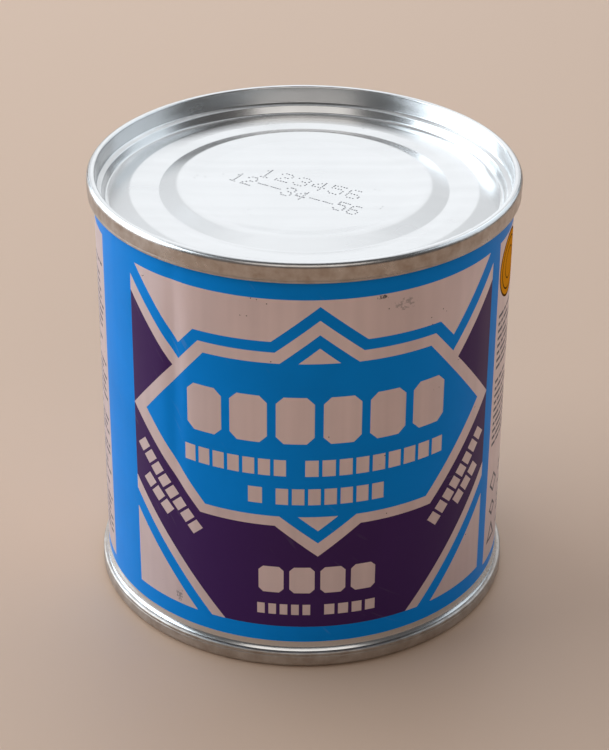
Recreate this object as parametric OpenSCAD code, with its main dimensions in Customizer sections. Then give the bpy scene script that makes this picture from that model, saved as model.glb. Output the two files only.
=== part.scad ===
// Round three-piece food can, shut: solid body with a stamped end seamed on at the top and at the bottom.
// Units are mm, +Z is up, the can stands on z = 0 and is centred on the Z axis.

/* [Can] */
// height over both seams
can_h = 80; // [66:0.5:96]
// outer diameter of the body wall
body_d = 73.5; // [61:0.5:88.5]
// how far a seam stands out past the body wall
seam_out = 1.25; // [1:0.05:1.5]
// thickness of the stamped ends
plate_t = 0.25; // [0.2:0.01:0.3]

/* [Seams] */
// height of the top seam
top_seam_h = 3.7; // [3.1:0.1:4.4]
// height of the bottom seam
bottom_seam_h = 3.1; // [2.6:0.1:3.7]
// radius of the rounded crest of both seams
roll_r = 0.6; // [0.5:0.05:0.7]
// height of the rounded lip where a seam closes on the body
lip_h = 0.6; // [0.5:0.05:0.7]
// how far the body wall flares out above the bottom seam
flare_out = 0.45; // [0.35:0.05:0.55]
// height of that flare
flare_h = 0.8; // [0.6:0.1:1]

/* [Stamped ends] */
// depth of the trough at the foot of the wall, below the seam crest
well_depth = 4.8; // [4:0.1:5.8]
// depth of the small ledge in that wall
ledge_depth = 3.1; // [2.5:0.1:3.7]
// height of the groove round the bead, above the trough
groove_rise = 0.75; // [0.6:0.05:0.9]
// height of the broad ring above the trough
ring_rise = 1; // [0.8:0.05:1.2]
// height of the centre panel above the trough
panel_rise = 1.4; // [1.1:0.05:1.7]
// height of the round bead above the trough
bead_rise = 1.8; // [1.5:0.05:2.15]
// radius of the centre panel, as a share of the body radius
panel_share = 0.51; // [0.42:0.01:0.6]
// width of the bead, as a share of the body radius
bead_share = 0.175; // [0.14:0.005:0.21]

/* [Hidden] */
$fn = 180;
body_r = body_d / 2;
seam_r = body_r + seam_out;
wall_r = body_r - 0.3;           // inner wall of the seam, where the chuck pressed it
hook_r = body_r - 0.15;          // inner edge of the body hook inside the seam
lip_in = 0.2;                    // how far the lip stands back from the seam face
seam_lean = 0.12;                // how far the seam face leans in towards its lip
panel_r = body_r * panel_share;
bead_w = body_r * bead_share;
bead_in = panel_r + bead_w * 0.4;      // inner edge of the bead's flat top
bead_out = panel_r + bead_w * 0.5;     // outer edge of the bead's flat top
groove_r = panel_r + bead_w + 0.5;     // outer edge of the groove round the bead
ring_out = body_r - 6.5;               // outer edge of the broad ring
ring_in = groove_r + (ring_out - groove_r) * 0.35;
trough_in = body_r - 2.65;
trough_out = body_r - 1.95;
foot_r = body_r - 1.4;                 // outer edge of the wall's steep foot
foot_h = 0.35;                         // drop of the ledge from the wall to the foot
flank_steps = 6;
arc_steps = 6;

// quarter rounds, as [radius, depth] points
function arc(c, d, r, a0, a1) =
    [for (i = [0:arc_steps]) let (a = a0 + (a1 - a0) * i / arc_steps) [c + r * cos(a), d - r * sin(a)]];
// an even S-shaped flank from one level to another, both ends left out
function flank(r0, r1, d0, d1) =
    [for (i = [1:flank_steps - 1]) let (t = i / flank_steps)
        [r0 + (r1 - r0) * t, d0 + (d1 - d0) * (1 - cos(180 * t)) / 2]];

// outer face of a stamped end, centre to rim, as [radius, depth below the seam crest]
panel_d = well_depth - panel_rise;
bead_d = well_depth - bead_rise;
groove_d = well_depth - groove_rise;
ring_d = well_depth - ring_rise;
end_floor = concat(
    [[0, panel_d], [panel_r, panel_d]],
    flank(panel_r, bead_in, panel_d, bead_d),
    [[bead_in, bead_d], [bead_out, bead_d]],
    flank(bead_out, panel_r + bead_w, bead_d, groove_d),
    [[panel_r + bead_w, groove_d], [groove_r, groove_d], [ring_in, ring_d], [ring_out, ring_d],
     [trough_in, well_depth]]);
end_wall = [
    [trough_out, well_depth], [foot_r, ledge_depth + foot_h], [wall_r - 0.15, ledge_depth]];
seam_crest = concat(
    arc(wall_r + roll_r, roll_r, roll_r, 180, 90), arc(seam_r - roll_r, roll_r, roll_r, 90, 0));
function seam_lip(h) = let (c = seam_r - seam_lean - lip_in) concat(
    [[seam_r - seam_lean, h - lip_h - 0.15]], arc(c - lip_h * 0.6, h - lip_h, lip_h, 0, -90));

// inner face of a stamped end, rim to centre: the same line one plate thickness further in
end_back = concat(
    [[foot_r + plate_t * 1.2, ledge_depth + foot_h + plate_t * 0.8],
     [trough_out + plate_t * 0.7, well_depth + plate_t]],
    [for (i = [len(end_floor) - 1:-1:0]) [end_floor[i][0], end_floor[i][1] + plate_t]]);

function at_top(pts) = [for (p = pts) [p[0], can_h - p[1]]];
// where the body ends inside a seam; a short seam is led past the ledge of the stamped end
function body_joint(h, out) = let (pass = ledge_depth + plate_t)
    concat([[body_r + out, h], [hook_r, h]], h < pass ? [[hook_r, pass]] : []);
function end_outline(h, out) =
    concat(end_floor, end_wall, seam_crest, seam_lip(h), body_joint(h, out), end_back);

// printed wall of the can with its contents, one solid
module can_body() {
    bottom_joint = body_joint(bottom_seam_h, flare_out);
    color("steelblue")
    rotate_extrude()
    polygon(concat(
        [for (i = [len(end_back) - 1:-1:0]) end_back[i]],
        [for (i = [len(bottom_joint) - 1:-1:0]) bottom_joint[i]],
        [[body_r + flare_out * 0.35, bottom_seam_h + flare_h * 0.4], [body_r, bottom_seam_h + flare_h]],
        at_top(body_joint(top_seam_h, 0)), at_top(end_back)));
}

// stamped end with its double seam, at the top
module top_end() {
    color("lightgray")
    rotate_extrude()
    polygon(at_top(end_outline(top_seam_h, 0)));
}

// the same stamped end with its double seam, at the bottom
module bottom_end() {
    color("silver")
    rotate_extrude()
    polygon(end_outline(bottom_seam_h, flare_out));
}

can_body();
top_end();
bottom_end();
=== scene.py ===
# %% [markdown]
# # A shut tin can, from the sheet to the shelf
# The can is three pieces of tinplate: a printed wall, rolled and welded, and
# two stamped ends whose edges are folded over the wall's edges. The CAD model
# is loaded first, as a frame that nothing here may move or outgrow.
# The can's own sizes are written in millimetres, the unit a can maker thinks
# in, and turned into metres where Blender needs them. The lights, the floor and
# the marks inside a material are in metres from the start.

# %% Load the frame
import math
import random
import bpy
import bmesh
from mathutils import Matrix, Vector
from mathutils.geometry import delaunay_2d_cdt


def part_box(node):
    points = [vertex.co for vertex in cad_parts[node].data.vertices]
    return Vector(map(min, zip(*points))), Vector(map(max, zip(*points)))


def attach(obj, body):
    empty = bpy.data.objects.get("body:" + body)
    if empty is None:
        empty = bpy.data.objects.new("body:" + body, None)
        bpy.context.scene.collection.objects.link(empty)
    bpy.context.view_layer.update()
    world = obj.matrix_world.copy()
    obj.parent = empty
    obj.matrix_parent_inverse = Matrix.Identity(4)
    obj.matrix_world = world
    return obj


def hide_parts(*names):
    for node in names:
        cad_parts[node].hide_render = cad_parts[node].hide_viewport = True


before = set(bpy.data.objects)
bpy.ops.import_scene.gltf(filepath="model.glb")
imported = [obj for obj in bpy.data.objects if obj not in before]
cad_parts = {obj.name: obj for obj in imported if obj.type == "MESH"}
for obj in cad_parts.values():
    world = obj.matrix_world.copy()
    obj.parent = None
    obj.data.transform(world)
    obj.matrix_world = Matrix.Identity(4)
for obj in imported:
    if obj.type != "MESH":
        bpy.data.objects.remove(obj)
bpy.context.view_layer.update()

MM = 0.001
TAU = 2 * math.pi
seam_low, seam_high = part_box("top_end")
CAN_H = seam_high[2] / MM
SEAM_R = (seam_high[0] - seam_low[0]) / 2 / MM
SEAM_OUT = 1.25                     # how far a seam stands out past the wall
BODY_R = SEAM_R - SEAM_OUT
print(f"can {CAN_H:.1f} mm high, seams {2 * SEAM_R:.1f} mm, wall {2 * BODY_R:.1f} mm")

# %% [markdown]
# ## Floor, light and camera
# A tin can is a curved mirror, so the light is most of its look. One big soft
# window stands to the left and a weaker one to the right, both a little behind
# the can, and a tall bank straight behind it is what the lid reflects. The bank
# is brighter along its middle:
# flat parts of the lid mirror the middle and look white, sloping parts mirror
# what lies beside it and look grey, and so each ring of the lid can be seen.
# The front of the wall faces away from all of them, so it shows the floor and
# stays darker. A weak lamp high in front is mirrored by the inside of the far
# seam and by the trough at its foot, and lifts the front of the wall a little.

# %% A pale floor
def new_object(name, mesh, *materials):
    """Link a mesh to the scene under its own name, with its materials."""
    thing = bpy.data.objects.new(name, mesh)
    bpy.context.scene.collection.objects.link(thing)
    for material in materials:
        mesh.materials.append(material)
    return thing


def plain_material(name, color, roughness):
    """A Principled material with only its base colour and roughness set."""
    material = bpy.data.materials.new(name)
    material.use_nodes = True
    shader = material.node_tree.nodes["Principled BSDF"]
    shader.inputs["Base Color"].default_value = (*color, 1)
    shader.inputs["Roughness"].default_value = roughness
    return material


FLOOR_HALF = 4.0                    # metres
floor_mesh = bpy.data.meshes.new("floor")
floor_mesh.from_pydata([(x * FLOOR_HALF, y * FLOOR_HALF, 0)
                        for x, y in ((-1, -1), (1, -1), (1, 1), (-1, 1))], [], [(0, 1, 2, 3)])
floor = new_object("floor", floor_mesh, plain_material("pale_floor", (0.57, 0.39, 0.28), 0.5))

# %% Windows as area lights
def window_light(name, azimuth, elevation, distance, size, power, color):
    """A rectangular light that faces the can: its distance and size in metres, its power in watts.

    Azimuth 0 is the front, and positive is to the right.
    """
    light = bpy.data.lights.new(name, "AREA")
    light.shape = "RECTANGLE"
    light.size, light.size_y = size
    light.energy = power
    light.color = color
    lamp = bpy.data.objects.new(name, light)
    bpy.context.scene.collection.objects.link(lamp)
    a, e = math.radians(azimuth), math.radians(elevation)
    out = Vector((math.sin(a) * math.cos(e), -math.cos(a) * math.cos(e), math.sin(e)))
    lamp.location = out * distance + Vector((0, 0, CAN_H / 2 * MM))
    lamp.rotation_euler = out.to_track_quat("Z", "Y").to_euler()
    return lamp


COOL, SOFT, WARM = (0.80, 0.91, 1.0), (0.92, 0.96, 1.0), (1.0, 0.97, 0.93)
window_light("window_left", -106, 28, 1.4, (1.85, 1.3), 28.5, COOL)
window_light("window_right", 113, 30, 1.5, (1.5, 1.25), 7, COOL)
window_light("bank_behind", 180, 41, 1.9, (2.4, 3.0), 21, SOFT)
window_light("bank_core", 180, 43, 1.85, (0.9, 2.8), 3.1, SOFT)
window_light("lamp_in_front", 0, 41, 1.6, (1.6, 0.75), 4.6, WARM)

world = bpy.data.worlds.new("room")
bpy.context.scene.world = world
world.use_nodes = True
world.node_tree.nodes["Background"].inputs["Color"].default_value = (0.80, 0.78, 0.78, 1)
world.node_tree.nodes["Background"].inputs["Strength"].default_value = 0.12
bpy.context.scene.view_settings.view_transform = "Standard"

# %% The camera
# The camera looks down on the can from the front at just under 30 degrees. It
# points at the can's middle and is then turned by three very small angles.
DISTANCE, ELEVATION = 393.9, 29.53                  # from the can's middle, mm and degrees
PAN, TILT, ROLL = -0.038, -0.241, -0.392            # degrees
LENS = 103.17                                       # mm

camera_data = bpy.data.cameras.new("camera")
camera_data.lens = LENS
camera_data.clip_start = 0.01
camera = bpy.data.objects.new("camera", camera_data)
bpy.context.scene.collection.objects.link(camera)
bpy.context.scene.camera = camera
e = math.radians(ELEVATION)
forward = Vector((0, math.cos(e), -math.sin(e)))
right = Vector((1, 0, 0))
up = right.cross(forward)
for turn, axis in ((PAN, "up"), (TILT, "right"), (ROLL, "forward")):
    around = {"up": up, "right": right, "forward": forward}[axis].copy()
    spin = Matrix.Rotation(math.radians(turn), 3, around)
    forward, right, up = spin @ forward, spin @ right, spin @ up
camera.matrix_world = Matrix((
    (right.x, up.x, -forward.x, 0),
    (right.y, up.y, -forward.y, -DISTANCE * MM * math.cos(e)),
    (right.z, up.z, -forward.z, (CAN_H / 2 + DISTANCE * math.sin(e)) * MM),
    (0, 0, 0, 1)))
print("camera at", [round(v, 4) for v in camera.matrix_world.translation])

# %% [markdown]
# ## Marks that every piece of tinplate carries
# Tinplate is cold-rolled steel with a film of tin. The rolls leave a faint
# grain of parallel lines, handling leaves fine scratches and pin-prick specks,
# and moisture leaves dull clouds. Bare metal and printed metal share these, so
# each is a node group that is built once and placed where it is needed.

# %% Helpers to build node groups
def new_group(name, inputs, outputs):
    """An empty shader group; inputs and outputs are lists of (name, kind, default)."""
    group = bpy.data.node_groups.new(name, "ShaderNodeTree")
    for label, kind, default in inputs:
        socket = group.interface.new_socket(label, in_out="INPUT", socket_type="NodeSocket" + kind)
        if default is not None:
            socket.default_value = default
    for label, kind in outputs:
        group.interface.new_socket(label, in_out="OUTPUT", socket_type="NodeSocket" + kind)
    return group, group.nodes.new("NodeGroupInput"), group.nodes.new("NodeGroupOutput")


def add(tree, kind, links=(), **values):
    """Add a node, set its values and join its inputs."""
    node = tree.nodes.new("ShaderNode" + kind)
    for key, value in values.items():
        setattr(node, key, value)
    for socket, source in dict(links).items():
        if hasattr(source, "is_output"):
            tree.links.new(source, node.inputs[socket])
        else:
            node.inputs[socket].default_value = source
    return node


def spread(tree, value, from_low, from_high, to_low=0.0, to_high=1.0):
    """Map a value from one range to another, held at both ends."""
    node = add(tree, "MapRange", {0: value, 1: from_low, 2: from_high, 3: to_low, 4: to_high})
    return node.outputs["Result"]


# %% Rolled grain
grain_group, grain_in, grain_out = new_group(
    "rolled_grain",
    [("Vector", "Vector", None), ("Stretch", "Vector", (0.03, 1, 1)), ("Fineness", "Float", 2600.0)],
    [("Grain", "Float"), ("Broad", "Float")])
tree = grain_group
stretched = add(tree, "VectorMath", {0: grain_in.outputs["Vector"], 1: grain_in.outputs["Stretch"]},
                operation="MULTIPLY")
fine = add(tree, "TexNoise", {"Vector": stretched.outputs[0], "Scale": grain_in.outputs["Fineness"],
                              "Detail": 3.0, "Roughness": 0.6})
coarse_scale = add(tree, "Math", {0: grain_in.outputs["Fineness"], 1: 0.12}, operation="MULTIPLY")
coarse = add(tree, "TexNoise", {"Vector": stretched.outputs[0], "Scale": coarse_scale.outputs[0],
                                "Detail": 2.0, "Roughness": 0.5})
tree.links.new(fine.outputs[0], grain_out.inputs["Grain"])
tree.links.new(coarse.outputs[0], grain_out.inputs["Broad"])

# %% Handling marks
marks_group, marks_in, marks_out = new_group(
    "handling_marks",
    [("Vector", "Vector", None), ("Cloud Scale", "Float", 45.0), ("Speck Scale", "Float", 900.0),
     ("Speck Size", "Float", 0.10)],
    [("Cloud", "Float"), ("Speck", "Float"), ("Scratch", "Float")])
tree = marks_group
cloud = add(tree, "TexNoise", {"Vector": marks_in.outputs["Vector"],
                               "Scale": marks_in.outputs["Cloud Scale"],
                               "Detail": 4.0, "Roughness": 0.55, "Distortion": 0.4})
cells = add(tree, "TexVoronoi", {"Vector": marks_in.outputs["Vector"],
                                 "Scale": marks_in.outputs["Speck Scale"], "Randomness": 1.0})
rare = add(tree, "TexNoise", {"Vector": marks_in.outputs["Vector"], "Scale": 130.0, "Detail": 1.0})
near = add(tree, "Math", {0: cells.outputs["Distance"], 1: marks_in.outputs["Speck Size"]},
           operation="LESS_THAN")
chosen = add(tree, "Math", {0: rare.outputs[0], 1: 0.68}, operation="GREATER_THAN")
speck = add(tree, "Math", {0: near.outputs[0], 1: chosen.outputs[0]}, operation="MULTIPLY")
skewed = add(tree, "VectorRotate", {"Vector": marks_in.outputs["Vector"],
                                    "Rotation": (0.5, 0.35, 0.8)}, rotation_type="EULER_XYZ")
drawn = add(tree, "VectorMath", {0: skewed.outputs[0], 1: (1, 0.03, 0.12)}, operation="MULTIPLY")
hairs = add(tree, "TexNoise", {"Vector": drawn.outputs[0], "Scale": 1800.0, "Detail": 0.0})
thin = spread(tree, hairs.outputs[0], 0.72, 0.80)
patchy = spread(tree, cloud.outputs[0], 0.52, 0.66)
scratch = add(tree, "Math", {0: thin, 1: patchy}, operation="MULTIPLY")
tree.links.new(cloud.outputs[0], marks_out.inputs["Cloud"])
tree.links.new(speck.outputs[0], marks_out.inputs["Speck"])
tree.links.new(scratch.outputs[0], marks_out.inputs["Scratch"])

# %% Grime in one place
# A rubbed or dirty patch sits where it sits: a soft ball around a point, broken
# up by noise so that it reads as separate small flecks.
grime_group, grime_in, grime_out = new_group(
    "grime_patch",
    [("Vector", "Vector", None), ("Centre", "Vector", (0, 0, 0)), ("Radius", "Float", 0.003),
     ("Stretch", "Vector", (1, 1, 1)), ("Fleck Scale", "Float", 900.0), ("Cover", "Float", 0.5)],
    [("Mask", "Float")])
tree = grime_group
offset = add(tree, "VectorMath", {0: grime_in.outputs["Vector"], 1: grime_in.outputs["Centre"]},
             operation="SUBTRACT")
squeezed = add(tree, "VectorMath", {0: offset.outputs[0], 1: grime_in.outputs["Stretch"]},
               operation="MULTIPLY")
reach = add(tree, "VectorMath", {0: squeezed.outputs[0]}, operation="LENGTH")
share = add(tree, "Math", {0: reach.outputs["Value"], 1: grime_in.outputs["Radius"]},
            operation="DIVIDE")
inside = spread(tree, share.outputs[0], 0.25, 1.0, 1.0, 0.0)
flecks = add(tree, "TexNoise", {"Vector": grime_in.outputs["Vector"],
                                "Scale": grime_in.outputs["Fleck Scale"], "Detail": 3.0,
                                "Roughness": 0.65})
weight = add(tree, "Math", {0: inside, 1: grime_in.outputs["Cover"]}, operation="MULTIPLY")
floor_value = add(tree, "Math", {0: 1.0, 1: weight.outputs[0]}, operation="SUBTRACT")
over = add(tree, "Math", {0: flecks.outputs[0], 1: floor_value.outputs[0]}, operation="SUBTRACT")
tree.links.new(spread(tree, over.outputs[0], 0.0, 0.08), grime_out.inputs["Mask"])

# %% Wear and painted reflection on the seams
# The seams take the knocks and the damp, so their outer faces are duller and
# browner than the rest. The brown is partly that wear and partly a painted
# reflection: it darkens the seam faces the way a brown floor mirrored in them
# would. The mask starts at a distance from the can's axis.
wear_and_reflection_group, wear_and_reflection_in, wear_and_reflection_out = new_group(
    "seam_wear_and_reflection", [("Vector", "Vector", None), ("Start", "Float", 0.0376), ("Width", "Float", 0.0003)],
    [("Mask", "Float")])
tree = wear_and_reflection_group
level = add(tree, "VectorMath", {0: wear_and_reflection_in.outputs["Vector"], 1: (1, 1, 0)}, operation="MULTIPLY")
radius = add(tree, "VectorMath", {0: level.outputs[0]}, operation="LENGTH")
past = add(tree, "Math", {0: radius.outputs["Value"], 1: wear_and_reflection_in.outputs["Start"]},
           operation="SUBTRACT")
share = add(tree, "Math", {0: past.outputs[0], 1: wear_and_reflection_in.outputs["Width"]}, operation="DIVIDE",
            use_clamp=True)
blotch = add(tree, "TexNoise", {"Vector": wear_and_reflection_in.outputs["Vector"], "Scale": 420.0, "Detail": 4.0,
                                "Roughness": 0.6})
mottled = add(tree, "Math", {0: share.outputs[0], 1: spread(tree, blotch.outputs[0], 0.3, 0.68, 0.35)},
              operation="MULTIPLY")
tree.links.new(mottled.outputs[0], wear_and_reflection_out.inputs["Mask"])
print("node groups:", [group.name for group in (grain_group, marks_group, grime_group, wear_and_reflection_group)])

# %% [markdown]
# ## Three finishes of tinplate
# The ends are bare tinplate: a mirror made soft by the rolled grain. The bottom
# one rubs on every shelf, so it is duller and darker, and its brown reaches in
# over the top of its seam: partly wear, partly painted shade that keeps the
# highlight there grey. On both seams the brown is partly a painted reflection.
# The wall is the same plate under a clear varnish, a little warmer, which is
# the silver of the print. All three start from one function, so they stay
# related.

# %% Tinplate
def tinplate(name, color, rough, grain_stretch, streaks, coat=0.0, wear_and_reflection=0.0, wear_and_reflection_from=37.6,
             metal=1.0, grimes=()):
    """Tin-coated steel: tint, roughness range, grain direction, streaks, varnish, wear with painted seam
    reflection, and grime.
    """
    material = bpy.data.materials.new(name)
    material.use_nodes = True
    tree = material.node_tree
    shader = tree.nodes["Principled BSDF"]
    place = add(tree, "TexCoord").outputs["Object"]
    grain = add(tree, "Group", node_tree=grain_group)
    marks = add(tree, "Group", node_tree=marks_group)
    for group in (grain, marks):
        tree.links.new(place, group.inputs["Vector"])
    grain.inputs["Stretch"].default_value = grain_stretch
    mottle = add(tree, "Math", {0: grain.outputs["Broad"], 1: marks.outputs["Cloud"]},
                 operation="ADD").outputs[0]
    film = add(tree, "Mix", {"Factor": spread(tree, mottle, 0.75, 1.25, 0.0, streaks),
                             6: (*color, 1), 7: (*[c * 0.6 for c in color], 1)},
               data_type="RGBA").outputs[2]
    # The seam faces are mixed towards brown: partly wear, partly a painted reflection that darkens them.
    rub_and_reflection = add(tree, "Group", {"Vector": place, "Start": wear_and_reflection_from * MM}, node_tree=wear_and_reflection_group)
    tarnish_and_reflection = add(tree, "Math", {0: rub_and_reflection.outputs["Mask"], 1: wear_and_reflection}, operation="MULTIPLY").outputs[0]
    worn_and_reflected = add(tree, "Mix", {"Factor": tarnish_and_reflection, 6: film, 7: (0.34, 0.27, 0.22, 1)},
               data_type="RGBA").outputs[2]
    dirt = marks.outputs["Speck"]
    for centre, radius, stretch, scale, cover, depth in grimes:
        patch = add(tree, "Group", {"Vector": place, "Centre": centre, "Radius": radius,
                                    "Stretch": stretch, "Fleck Scale": scale, "Cover": cover},
                    node_tree=grime_group)
        faint = add(tree, "Math", {0: patch.outputs["Mask"], 1: depth}, operation="MULTIPLY")
        dirt = add(tree, "Math", {0: dirt, 1: faint.outputs[0]}, operation="MAXIMUM").outputs[0]
    dirty = add(tree, "Mix", {"Factor": dirt, 6: worn_and_reflected, 7: (0.03, 0.028, 0.03, 1)},
                data_type="RGBA").outputs[2]
    tree.links.new(dirty, shader.inputs["Base Color"])
    clean = add(tree, "Math", {0: dirt, 1: -metal, 2: metal}, operation="MULTIPLY_ADD").outputs[0]
    tree.links.new(clean, shader.inputs["Metallic"])
    cloudy = spread(tree, marks.outputs["Cloud"], 0.3, 0.72, *rough)
    streaky = add(tree, "Math", {0: grain.outputs["Broad"], 1: 0.08, 2: cloudy},
                  operation="MULTIPLY_ADD").outputs[0]
    dulled = add(tree, "Math", {0: tarnish_and_reflection, 1: 0.14, 2: streaky}, operation="MULTIPLY_ADD").outputs[0]
    tree.links.new(dulled, shader.inputs["Roughness"])
    lines = add(tree, "Math", {0: marks.outputs["Scratch"], 1: -0.5, 2: grain.outputs["Grain"]},
                operation="MULTIPLY_ADD").outputs[0]
    relief = add(tree, "Bump", {"Height": lines, "Strength": 0.35, "Distance": 0.00001})
    swell = add(tree, "TexNoise", {"Vector": place, "Scale": 38.0, "Detail": 1.0})
    warp = add(tree, "Bump", {"Height": swell.outputs[0], "Strength": 1.0, "Distance": 0.00035,
                              "Normal": relief.outputs[0]})
    tree.links.new(warp.outputs[0], shader.inputs["Normal"])
    shader.inputs["Coat Weight"].default_value = coat
    shader.inputs["Coat Roughness"].default_value = 0.12
    return material


PRINT_TURN = 2.75                   # the middle of the print lies this far right of the front


def on_wall(across, height):
    """The point on the wall, in metres, from a distance round and a height in millimetres."""
    a = (across + PRINT_TURN) / BODY_R
    r = BODY_R * MM
    return (r * math.sin(a), -r * math.cos(a), height * MM)


bare_tin = tinplate("bare_tinplate", (0.67, 0.665, 0.66), (0.16, 0.24), (0.03, 1, 1), 0.12, wear_and_reflection=0.85)
# The bottom end is darker, and its brown starts further in, over the top of its seam: partly wear, partly
# painted shade over its highlight.
worn_and_shaded_tin = tinplate("worn_and_shaded_tinplate", (0.62, 0.61, 0.59), (0.24, 0.34), (0.03, 1, 1), 0.2, wear_and_reflection=0.8,
                    wear_and_reflection_from=36.9)
# The varnished wall has three dirty patches, each with its place, its radius in
# metres, its stretch, how fine its flecks are, how much they cover and how dark.
silver = tinplate(
    "varnished_tinplate", (0.78, 0.67, 0.70), (0.32, 0.42), (1, 1, 0.03), 0.3, coat=0.12, metal=0.8,
    grimes=[(on_wall(10.4, 72.4), 0.0022, (1, 1, 2.4), 2200, 0.60, 0.9),
            (on_wall(14.5, 70.4), 0.0048, (1, 1, 1.7), 1300, 0.56, 0.38),
            (on_wall(-25.9, 9.8), 0.0034, (1.8, 1.8, 0.9), 1500, 0.56, 0.55)])

# %% [markdown]
# ## Printing inks
# The inks are flat fields printed on the sheet before it is rolled. The blue and
# the violet let a little of the metal through, so those two are part metallic.
# A dull varnish keeps the shine of all of them low and even: that is the low
# specular level.

# %% Inks
def ink(name, color, metallic, roughness, gloss=0.2):
    """A flat lithographic ink: faint clouds in the film, rolled grain showing through."""
    material = bpy.data.materials.new(name)
    material.use_nodes = True
    tree = material.node_tree
    shader = tree.nodes["Principled BSDF"]
    place = add(tree, "TexCoord").outputs["Object"]
    grain = add(tree, "Group", {"Stretch": (1, 1, 0.03)}, node_tree=grain_group)
    marks = add(tree, "Group", {"Cloud Scale": 60.0, "Speck Size": 0.06}, node_tree=marks_group)
    for group in (grain, marks):
        tree.links.new(place, group.inputs["Vector"])
    film = add(tree, "Mix", {"Factor": spread(tree, marks.outputs["Cloud"], 0.3, 0.7),
                             6: (*color, 1), 7: (*[c * 0.9 for c in color], 1)},
               data_type="RGBA").outputs[2]
    light = add(tree, "Math", {0: marks.outputs["Scratch"], 1: 0.35}, operation="MULTIPLY")
    rubbed = add(tree, "Mix", {"Factor": light.outputs[0], 6: film,
                               7: (*[c * 0.6 + 0.12 for c in color], 1)}, data_type="RGBA").outputs[2]
    tree.links.new(rubbed, shader.inputs["Base Color"])
    shader.inputs["Metallic"].default_value = metallic
    soft = spread(tree, grain.outputs["Broad"], 0.3, 0.7, roughness - 0.04, roughness + 0.05)
    tree.links.new(soft, shader.inputs["Roughness"])
    relief = add(tree, "Bump", {"Height": grain.outputs["Grain"], "Strength": 0.2,
                                "Distance": 0.000008})
    tree.links.new(relief.outputs[0], shader.inputs["Normal"])
    shader.inputs["Specular IOR Level"].default_value = gloss
    return material


blue = ink("blue_ink", (0.002, 0.27, 0.84), 0.2, 0.36, 0.05)
violet = ink("violet_ink", (0.050, 0.012, 0.105), 0.15, 0.36)
gold = ink("gold_ink", (0.85, 0.33, 0.015), 0.0, 0.36, 0.0)
umber = ink("umber_ink", (0.14, 0.06, 0.01), 0.0, 0.36, 0.0)
grey = ink("grey_ink", (0.10, 0.10, 0.13), 0.0, 0.40, 0.1)
WALL_FINISHES = {"silver": silver, "blue": blue, "violet": violet, "gold": gold, "umber": umber,
                 "grey": grey, "bare": bare_tin}
print("finishes on the wall:", list(WALL_FINISHES))

# %% [markdown]
# ## The wall's own shape
# A rolled wall is never a perfect cylinder. It has shallow flats that only its
# reflections show, it swells where it runs into the bottom seam, and at the
# back the two edges overlap in a narrow weld. One function gives the radius
# everywhere, so the print and the metal can't drift apart.

# %% Wall radius
TOP_SEAM_H, BOTTOM_SEAM_H = 3.7, 3.1
FLARE_OUT, FLARE_H = 0.45, 0.8
REPEAT = TAU * BODY_R / 2           # the print comes round twice
STRIP_MIDDLE = 73.7                 # the blue strip where the wall is welded
WELD_ANGLE = (STRIP_MIDDLE + PRINT_TURN) / BODY_R
WELD_STEP, WELD_HALF = 0.07, 0.45    # the lapped edge stands up a little, over this half width
# The flats are a few long waves round the wall: how many, how deep, where they start.
FLATS = ((2, 0.030, 0.7), (3, 0.020, 2.1), (5, 0.012, 4.0), (9, 0.006, 1.0))
FLATS_LOW, FLATS_TALL = 3, 74       # they fade out towards both ends of this stretch
DENT_ANGLE, DENT_Z = -0.63, 52      # a long shallow dent on the left of the front
DENT_WIDE, DENT_TALL, DENT_DEEP = 0.045, 22, 0.34


def wall_radius(angle, z):
    """Radius of the wall, in mm, at an angle round from the front and a height."""
    ease = math.sin(math.pi * min(1, max(0, (z - FLATS_LOW) / FLATS_TALL)))
    r = BODY_R + ease * sum(depth * math.cos(n * angle + phase + z * 0.004 * n)
                            for n, depth, phase in FLATS)
    dent = ((angle - DENT_ANGLE) / DENT_WIDE) ** 2 + ((z - DENT_Z) / DENT_TALL) ** 2
    r -= DENT_DEEP * math.exp(-dent)
    flare = max(0.0, (BOTTOM_SEAM_H + FLARE_H - z) / FLARE_H)
    r += FLARE_OUT * flare ** 1.6
    off = math.remainder(angle - WELD_ANGLE, TAU) * BODY_R
    return r + WELD_STEP * math.exp(-(off / WELD_HALF) ** 4)


def wall_point(angle, z):
    """A point of the wall, in metres."""
    r = wall_radius(angle, z) * MM
    return Vector((r * math.sin(angle), -r * math.cos(angle), z * MM))


def wall_normal(angle, z):
    """The outward direction there, from four points close around it."""
    step, rise = 0.004, 0.1
    along = wall_point(angle + step, z) - wall_point(angle - step, z)
    upward = wall_point(angle, z + rise) - wall_point(angle, z - rise)
    return along.cross(upward).normalized()


print("wall runs from radius", round(wall_radius(0, 3.2), 2), "at the flare to",
      round(wall_radius(0, 40), 2))

# %% [markdown]
# ## The print, drawn flat
# The sheet is printed flat, so the print is drawn flat too: the first number
# of each corner is the distance round from the middle of the front, the second
# the height. The fields of the front are the same on both sides of its middle,
# so only one half of each is drawn and the other is its mirror image. Lettering
# is left out: rows of plain blocks and bars stand in its place.

# %% Fields of the front
PRINT_LOW, PANEL_LOW, PANEL_HIGH = 4.85, 8.1, 72.9
PANEL_HALF = 36.2
PEAK, VALLEY, SHOULDER = 8.1, 25.05, 21.9


def mirror(half):
    """Close a half outline, given from the middle outwards and back, with its mirror image."""
    return half + [(-x, y) for x, y in reversed(half) if abs(x) > 0.001]


def both(corners):
    """A shape and its mirror image."""
    return [corners, [(-x, y) for x, y in corners]]


def lozenge(x, y, w, h):
    """A plain square-on-its-corner shape round a middle point."""
    return [(x - w / 2, y), (x, y - h / 2), (x + w / 2, y), (x, y + h / 2)]


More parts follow.
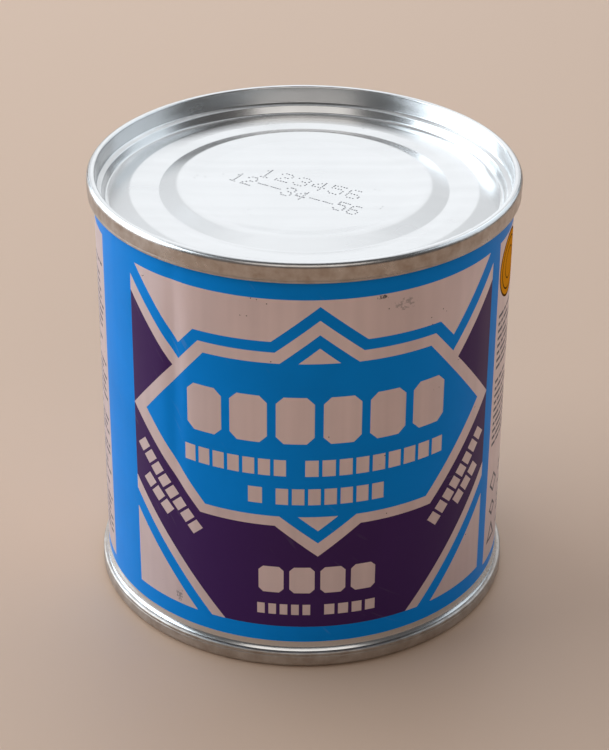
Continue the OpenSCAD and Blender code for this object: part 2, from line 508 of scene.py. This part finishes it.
def block(x, y, w, h, cut):
    """A plain upright block round a middle point, with its corners cut off."""
    return [(x + sx * (w / 2 - cx), y + sy * (h / 2 - cy)) for sx, sy, cx, cy in
            ((-1, -1, cut, 0), (1, -1, cut, 0), (1, -1, 0, cut), (1, 1, 0, cut),
             (1, 1, cut, 0), (-1, 1, cut, 0), (-1, 1, 0, cut), (-1, -1, 0, cut))]


def slanted(start, end, thick):
    """A plain bar between two points."""
    a, b = Vector(start), Vector(end)
    side = (b - a).normalized().orthogonal() * thick / 2
    return [tuple(p) for p in (a - side, b - side, b + side, a + side)]


def dashes(start, end, thick, count, gap):
    """A row of equal plain bars along the line between two points."""
    a, b = Vector(start), Vector(end)
    step = (b - a) / count
    inset = step.normalized() * gap / 2
    return [slanted(a + step * i + inset, a + step * (i + 1) - inset, thick) for i in range(count)]


front = []                                            # (finish, corners), painted in this order
front.append(("silver", mirror([(0, 71.7), (PEAK, 65.05), (SHOULDER, 64.95), (VALLEY, 61.4),
                                (34.9, PANEL_HIGH)])))
front.append(("silver", mirror([(0, 20), (PANEL_HALF, 20), (PANEL_HALF, 70.5), (25.1, 58.3),
                                (20.95, 63.05), (7.45, 63.08), (0, 69.15)])))
for corners in both([(PANEL_HALF, 67.4), (PANEL_HALF, 45.6), (26.45, 56.65)]):
    front.append(("violet", corners))
front.append(("blue", mirror([(0, PANEL_LOW), (PANEL_HALF, PANEL_LOW), (PANEL_HALF, 30.9),
                              (20.1, 20)])))
front.append(("violet", mirror([(0, PANEL_LOW), (16.5, PANEL_LOW), (PANEL_HALF, 30.9),
                                (PANEL_HALF, 45.6), (21.1, 29.25), (7.45, 29.2), (0, 23.0)])))
for corners in both([(16.5, PANEL_LOW), (19.1, PANEL_LOW), (PANEL_HALF, 28.0),
                     (PANEL_HALF, 30.9)]):
    front.append(("silver", corners))
for corners in both([(22.0, PANEL_LOW), (PANEL_HALF, PANEL_LOW), (PANEL_HALF, 24.3)]):
    front.append(("silver", corners))
front.append(("blue", mirror([(0, 25.75), (6.65, 31.15), (20.1, 31.2), (32.8, 45.95),
                              (20.0, 61.0), (6.65, 61.05), (0, 66.5)])))
front.append(("silver", mirror([(0, 61.1), (3.5, 61.1), (0, 64.0)])))
front.append(("silver", mirror([(0, 28.25), (3.45, 31.15), (0, 31.15)])))

# %% Plain shapes where words would be
ROW_LOW, ROW_HIGH, ROW_HALF = 45.7, 54.7, 24.0
BLOCKS = 6
pitch = 2 * ROW_HALF / BLOCKS
for i in range(BLOCKS):
    front.append(("silver", block(-ROW_HALF + pitch * (i + 0.5), (ROW_LOW + ROW_HIGH) / 2,
                                  pitch - 1.5, ROW_HIGH - ROW_LOW, 1.3)))
# Each row of small bars: where it starts and ends, its middle height, how tall, how many.
for x0, x1, y, tall, count in ((-24.2, -5.2, 40.9, 3.2, 7), (-2.6, 23.6, 40.9, 3.2, 9),
                               (-12.4, -9.3, 35.2, 3.2, 1), (-7.6, 11.8, 35.2, 3.2, 7),
                               (-10.9, -0.9, 11.75, 2.2, 5), (0.9, 10.7, 11.75, 2.2, 4)):
    for corners in dashes((x0, y), (x1, y), tall, count, 0.65):
        front.append(("silver", corners))
for i in range(4):
    front.append(("silver", block(-8.1 + 5.4 * i, 18.0, 4.4, 5.4, 0.8)))
# The two slanting rows on each violet wing.
for start, end, thick, count in (((34.6, 39.0), (21.4, 24.9), 2.6, 8),
                                 ((33.4, 32.4), (27.3, 26.7), 2.3, 3)):
    for dash in dashes(start, end, thick, count, 0.55):
        for corners in both(dash):
            front.append(("silver", corners))
print("fields and shapes on the front:", len(front))

# %% [markdown]
# ## The side panel
# Beside each front is a silver panel for the small print. Small print is drawn
# as rows of thin grey dashes, as a layout artist would greek it, with a plain
# gold disc above and a few plain marks below.

# %% Fields of the side panel
SIDE_LEFT, SIDE_RIGHT, SIDE_LOW, SIDE_HIGH = 39.15, 68.05, 6.7, 72.8
side = [("silver", [(SIDE_LEFT, SIDE_LOW), (SIDE_RIGHT, SIDE_LOW), (SIDE_RIGHT, SIDE_HIGH),
                    (SIDE_LEFT, SIDE_HIGH)])]


def disc(x, y, r, n=48):
    """A round outline."""
    return [(x + r * math.cos(TAU * i / n), y + r * math.sin(TAU * i / n)) for i in range(n)]


DISC_R = 6.2
disc_x, disc_y = SIDE_LEFT + 0.5 + DISC_R, 66.3
# Three thin rings on the disc, one of them its edge: each dark field is covered
# again by a slightly smaller gold one.
side += [(finish, disc(disc_x, disc_y, DISC_R - inset)) for finish, inset in
         (("umber", 0), ("gold", 0.4), ("umber", 1.3), ("gold", 1.6), ("umber", 3.2), ("gold", 3.45))]


def small_print(x0, x1, top, bottom, pitch, tall, seed):
    """Rows of dashes of word length, from the top down."""
    draw = random.Random(seed)
    y = top
    while y > bottom:
        x, end = x0, x1 - draw.choice((0, 0, 0, 1.5, 5.0))
        while x < end - 0.8:
            length = min(draw.uniform(1.0, 4.2), end - x)
            side.append(("grey", [(x, y), (x + length, y), (x + length, y + tall), (x, y + tall)]))
            x += length + 0.45
        y -= pitch


small_print(40.4, 52.5, 57.6, 47.0, 1.45, 0.62, 3)
small_print(40.4, 52.5, 44.6, 30.5, 1.45, 0.62, 5)
small_print(54.6, 66.8, 66.0, 9.6, 1.42, 0.60, 8)
for y, size in ((22.2, 4.4), (16.6, 3.6)):
    side.append(("grey", lozenge(43.0, y + 0.6, size, size)))
    side.append(("silver", lozenge(43.0, y + 0.6, size - 1.3, size - 1.3)))
side.append(("grey", [(40.6, 10.2), (45.6, 10.2), (43.1, 14.2)]))
side.append(("silver", [(41.6, 10.8), (44.6, 10.8), (43.1, 13.2)]))
small_print(47.4, 52.5, 24.0, 10.0, 1.45, 0.62, 11)
print("fields and dashes on the side panel:", len(side))

# %% [markdown]
# ## From flat print to round wall
# Paint on a separate skin would have to float above the metal, and it would
# show. Here the wall itself is cut along the edges of the print, the way
# stained glass is cut, and each patch gets its ink. Blender's constrained
# Delaunay routine does the cutting on the flat sheet: it is given the outlines
# and an even grid, and returns faces that never cross an outline.

# %% Cut the sheet
GRID_COLUMNS = 120                                   # for half the can
WALL_LOW, WALL_HIGH = BOTTOM_SEAM_H, CAN_H - TOP_SEAM_H + 0.4
ROWS = [WALL_LOW + FLARE_H * t for t in (0, 0.12, 0.25, 0.4, 0.6, 0.8, 1.0)] + [PRINT_LOW]
ROWS += [PANEL_LOW + 5.4 * i for i in range(13)] + [WALL_HIGH]
SHEET_LEFT = -PANEL_HALF - 5.7                       # about half way across the left blue strip
WELD_BARE = 2.4                                      # half width of the unprinted weld margin


def inside(x, y, corners):
    """Even-odd test of a point in an outline."""
    hit, (px, py) = False, corners[-1]
    for qx, qy in corners:
        if (qy > y) != (py > y) and x < (px - qx) * (y - qy) / (py - qy) + qx:
            hit = not hit
        px, py = qx, qy
    return hit


def cut_sheet(fields):
    """Faces of one repeat of the print: the points, and for each face its corners and finish."""
    points, edges = [], []

    def line(a, b):
        """Add one straight cut."""
        edges.append((len(points), len(points) + 1))
        points.extend((Vector(a), Vector(b)))

    # Even cuts, the edges of the weld margin, then the outlines of the print.
    left, right = SHEET_LEFT, SHEET_LEFT + REPEAT
    for i in range(GRID_COLUMNS + 1):
        x = left + REPEAT * i / GRID_COLUMNS
        line((x, WALL_LOW), (x, WALL_HIGH))
    for y in ROWS:
        line((left, y), (right, y))
    for x in (STRIP_MIDDLE - WELD_BARE, STRIP_MIDDLE + WELD_BARE - REPEAT):
        line((x, WALL_LOW), (x, WALL_HIGH))
    for _, corners in fields:
        for a, b in zip(corners, corners[1:] + corners[:1]):
            line(a, b)
    flat, _, faces, *_ = delaunay_2d_cdt(points, edges, [], 0, 1e-4)
    # The field painted last is on top, so the fields are searched from the last.
    boxes = [(f, c, min(p[0] for p in c), max(p[0] for p in c), min(p[1] for p in c),
              max(p[1] for p in c)) for f, c in reversed(fields)]
    patches = []
    for face in faces:
        x = sum(flat[i].x for i in face) / len(face)
        y = sum(flat[i].y for i in face) / len(face)
        finish = "bare" if y < PRINT_LOW else "blue"
        if y >= PRINT_LOW:
            for name, corners, x0, x1, y0, y1 in boxes:
                if x0 < x < x1 and y0 < y < y1 and inside(x, y, corners):
                    finish = name
                    break
        patches.append((list(face), finish))
    return flat, patches


flat_points, patches = cut_sheet(front + side)
print("patches in one repeat:", len(patches), "from", len(flat_points), "points")

# %% Roll it up
def roll_wall():
    """Both repeats on the round wall, joined edge to edge and closed inside the seams."""
    finishes = list(WALL_FINISHES)
    verts, normals, faces, indices, known = [], [], [], [], {}

    def corner(x, y, turn):
        """The vertex for a point of the flat sheet, made once and shared by its faces."""
        angle = (x + turn * REPEAT + PRINT_TURN) / BODY_R
        key = (round(angle % TAU * 1e5) % round(TAU * 1e5), round(y * 1e4))
        if key not in known:
            known[key] = len(verts)
            verts.append(wall_point(angle, y))
            normals.append(wall_normal(angle, y))
        return known[key]

    for turn in (0, 1):
        for face, finish in patches:
            loop = []
            for i in face:
                v = corner(flat_points[i].x, flat_points[i].y, turn)
                if v not in loop:
                    loop.append(v)
            if len(loop) > 2:
                middle = sum(flat_points[i].x for i in face) / len(face)
                off = abs(math.remainder((middle + turn * REPEAT + PRINT_TURN) / BODY_R
                                         - WELD_ANGLE, TAU)) * BODY_R
                faces.append(loop)
                indices.append(finishes.index("bare" if off < WELD_BARE else finish))
    mesh = bpy.data.meshes.new("printed_wall")
    mesh.from_pydata(verts, [], faces)
    mesh.polygons.foreach_set("material_index", indices)
    mesh.polygons.foreach_set("use_smooth", [True] * len(faces))
    mesh.update()
    mesh.normals_split_custom_set_from_vertices(normals)
    return mesh


wall_mesh = roll_wall()
wall = new_object("printed_wall", wall_mesh, *WALL_FINISHES.values())
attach(wall, "root")
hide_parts("can_body")
print("wall faces:", len(wall_mesh.polygons), "vertices:", len(wall_mesh.vertices))

# %% [markdown]
# ## Stamped ends and double seams
# Each end is stamped from one disc: a flat panel, a round bead that stiffens
# it, a trough, and a wall that rises into the seam. The seam is five layers of
# sheet rolled flat. A turned profile is right for both, drawn as corners with
# a rounding at each, just as the press tool is.

# %% Round the corners of a profile
def rounded(corners, step=0.14):
    """Corners as (radius, height, rounding): a polyline with an arc at each rounding."""
    line = [Vector(corners[0][:2])]
    for before, here, after in zip(corners, corners[1:], corners[2:]):
        p, a, b = Vector(here[:2]), Vector(before[:2]), Vector(after[:2])
        u, v = (a - p).normalized(), (b - p).normalized()
        turn = math.pi - u.angle(v)
        if here[2] < 0.01 or turn < 0.02:
            line.append(p)
            continue
        cut = min(here[2] * math.tan(turn / 2), (a - p).length * 0.62, (b - p).length * 0.62)
        radius = cut / math.tan(turn / 2)
        centre = p + (u + v).normalized() * radius / math.cos(turn / 2)
        start, stop = p + u * cut - centre, p + v * cut - centre
        n = max(3, math.ceil(radius * turn / step))
        for i in range(n + 1):
            t = i / n
            line.append(centre + start.slerp(stop, t) * radius)
    line.append(Vector(corners[-1][:2]))
    return line


WALL_IN = BODY_R - 0.3              # inner face of the seam
PANEL_DEPTH = 3.4                   # centre panel below the crest
# Corners from the centre to the rim: radius, depth below the crest, rounding.
END_FACE = [
    (0, PANEL_DEPTH, 0), (18.7, PANEL_DEPTH, 2.5), (21.3, 2.98, 3.0), (22.2, 3.0, 4.0), (25.4, 3.97, 0.4),
    (25.8, 3.97, 0.5), (27.6, 3.74, 2.5), (30.5, 3.78, 3.0), (34.2, 4.75, 0.3), (34.8, 4.8, 0.4),
    (35.35, 3.45, 0.25), (WALL_IN - 0.15, 3.1, 0.3), (WALL_IN, 0, 0.4), (SEAM_R, 0, 1.0)]


def seam_face(height):
    """Corners of a seam's outer face, from the crest down to where it closes on the wall."""
    return [(SEAM_R - 0.10, height - 0.85, 0.15), (SEAM_R - 0.18, height - 0.72, 0.12),
            (SEAM_R - 0.10, height - 0.40, 0.3), (SEAM_R - 0.25, height, 0.35),
            (BODY_R - 0.1, height - 0.12, 0.1)]


UNDERSIDE = 0.3                     # the underside follows the face this far below it
TROUGH_END = 10                     # as far out as the trough, the tenth corner


def end_profile(height):
    """The whole closed outline of an end, out over the rim and back underneath."""
    outline = rounded(END_FACE + seam_face(height) + [(BODY_R - 0.6, height + 0.1, 0)])
    under = [(r, d + UNDERSIDE) for r, d, _ in reversed(END_FACE[:TROUGH_END])]
    return outline + [Vector(p) for p in under]


# %% Turn a profile
# The seaming rolls leave the rim very slightly wavy, so the turned shape is too.
SEGMENTS = 360


def turned(name, profile, flip, ripple, seed):
    """Turn a profile round the can's axis; flip puts the crest at the bottom."""
    draw = random.Random(seed)
    waves = [(n, draw.uniform(0.4, 1.0) * ripple / (1 + n / 14), draw.uniform(0, TAU))
             for n in (3, 7, 11, 18, 27)]
    mesh = bpy.data.meshes.new(name)
    work = bmesh.new()
    rings = []
    for r, depth in profile:
        z = depth if flip else CAN_H - depth
        if r < 1e-6:
            rings.append([work.verts.new((0, 0, z * MM))])
            continue
        share = max(0.0, min(1.0, (r - WALL_IN + 0.4) / 1.2)) if depth < 4.2 else 0.0
        ring = []
        for i in range(SEGMENTS):
            a = TAU * i / SEGMENTS
            wave = share * sum(d * math.cos(n * a + phase) for n, d, phase in waves)
            reach = (r + wave - share * ripple * 1.6) * MM
            ring.append(work.verts.new((reach * math.sin(a), -reach * math.cos(a), z * MM)))
        rings.append(ring)
    for inner, outer in zip(rings, rings[1:] + rings[:1]):
        for i in range(SEGMENTS):
            j = (i + 1) % SEGMENTS
            corners = [inner[i % len(inner)], outer[i % len(outer)], outer[j % len(outer)],
                       inner[j % len(inner)]]
            corners = list(dict.fromkeys(corners))
            if len(corners) > 2:
                work.faces.new(corners)
    bmesh.ops.recalc_face_normals(work, faces=work.faces)
    for face in work.faces:
        face.smooth = True
    work.to_mesh(mesh)
    work.free()
    return mesh


RIPPLE = 0.012                      # sets how high the rim's waves are
for name, flip, height, seed, finish in (
        ("top_end_stamped", False, TOP_SEAM_H, 4, bare_tin),
        ("bottom_end_stamped", True, BOTTOM_SEAM_H, 9, worn_and_shaded_tin)):
    piece = new_object(name, turned(name, end_profile(height), flip, RIPPLE, seed), finish)
    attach(piece, "root")
    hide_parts(name.replace("_stamped", ""))
    print(name, "faces:", len(piece.data.polygons))

# %% [markdown]
# ## A code in ink dots
# A jet printer on the filling line marks each lid with a code in small round
# dots, seven high and five wide for each figure. The figures here are only
# plain runs of digits, one of them with dashes. Each dot is a low mound of
# dried ink with a flat top.

# %% Dot figures on the lid
DOT_FIGURES = {
    "1": "00100 01100 00100 00100 00100 00100 01110", "2": "01110 10001 00001 00110 01000 10000 11111",
    "3": "01110 10001 00001 00110 00001 10001 01110", "4": "00010 00110 01010 10010 11111 00010 00010",
    "5": "11111 10000 11110 00001 00001 10001 01110", "6": "01110 10000 10000 11110 10001 10001 01110",
    "-": "00000 00000 00000 11111 00000 00000 00000"}
FIGURE_TALL = 3.2
DOT_SIDES, DOT_TOP = 8, 0.7         # corners of a dot, and its flat top as a share of its radius
DOT_R, DOT_H = 0.18, 0.03
PANEL_Z = CAN_H - PANEL_DEPTH
dark_ink = plain_material("jet_ink", (0.015, 0.016, 0.03), 0.45)


def dot_row(text, start, end, tall, draw):
    """Places of the dots of a row of figures, along the line from start to end."""
    start, end = Vector(start), Vector(end)
    along = (end - start) / (len(text) * 6 - 1)     # six columns a figure, the last one empty
    upright = Vector((-along.y, along.x)).normalized() * tall / 6
    places = []
    for k, figure in enumerate(text):
        for row, bits in enumerate(DOT_FIGURES[figure].split()):
            for column, bit in enumerate(bits):
                if bit == "1":
                    wobble = Vector((draw.uniform(-0.05, 0.05), draw.uniform(-0.05, 0.05)))
                    places.append(start + along * (k * 6 + column) + upright * (6 - row) + wobble)
    return places


draw = random.Random(21)
dots = dot_row("123456", (-8.2, 3.3), (9.4, -6.5), FIGURE_TALL, draw)
dots += dot_row("12--34--56", (-13.4, 1.7), (8.8, -12.7), FIGURE_TALL, draw)
work = bmesh.new()


def dot_ring(x, y, r, z):
    """One ring of corners of a dot."""
    return [work.verts.new(((x + r * math.cos(TAU * i / DOT_SIDES)) * MM,
                            (y + r * math.sin(TAU * i / DOT_SIDES)) * MM, z * MM))
            for i in range(DOT_SIDES)]


for x, y in dots:
    r = DOT_R * draw.uniform(0.85, 1.1)
    rim = dot_ring(x, y, r, PANEL_Z - 0.01)
    top = dot_ring(x, y, DOT_TOP * r, PANEL_Z + DOT_H)
    for i in range(DOT_SIDES):
        j = (i + 1) % DOT_SIDES
        work.faces.new((rim[i], rim[j], top[j], top[i]))
    work.faces.new(top)
    work.faces.new(list(reversed(rim)))
code_mesh = bpy.data.meshes.new("lid_code")
work.to_mesh(code_mesh)
work.free()
code = new_object("lid_code", code_mesh, dark_ink)
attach(code, "root")
print("ink dots on the lid:", len(dots))
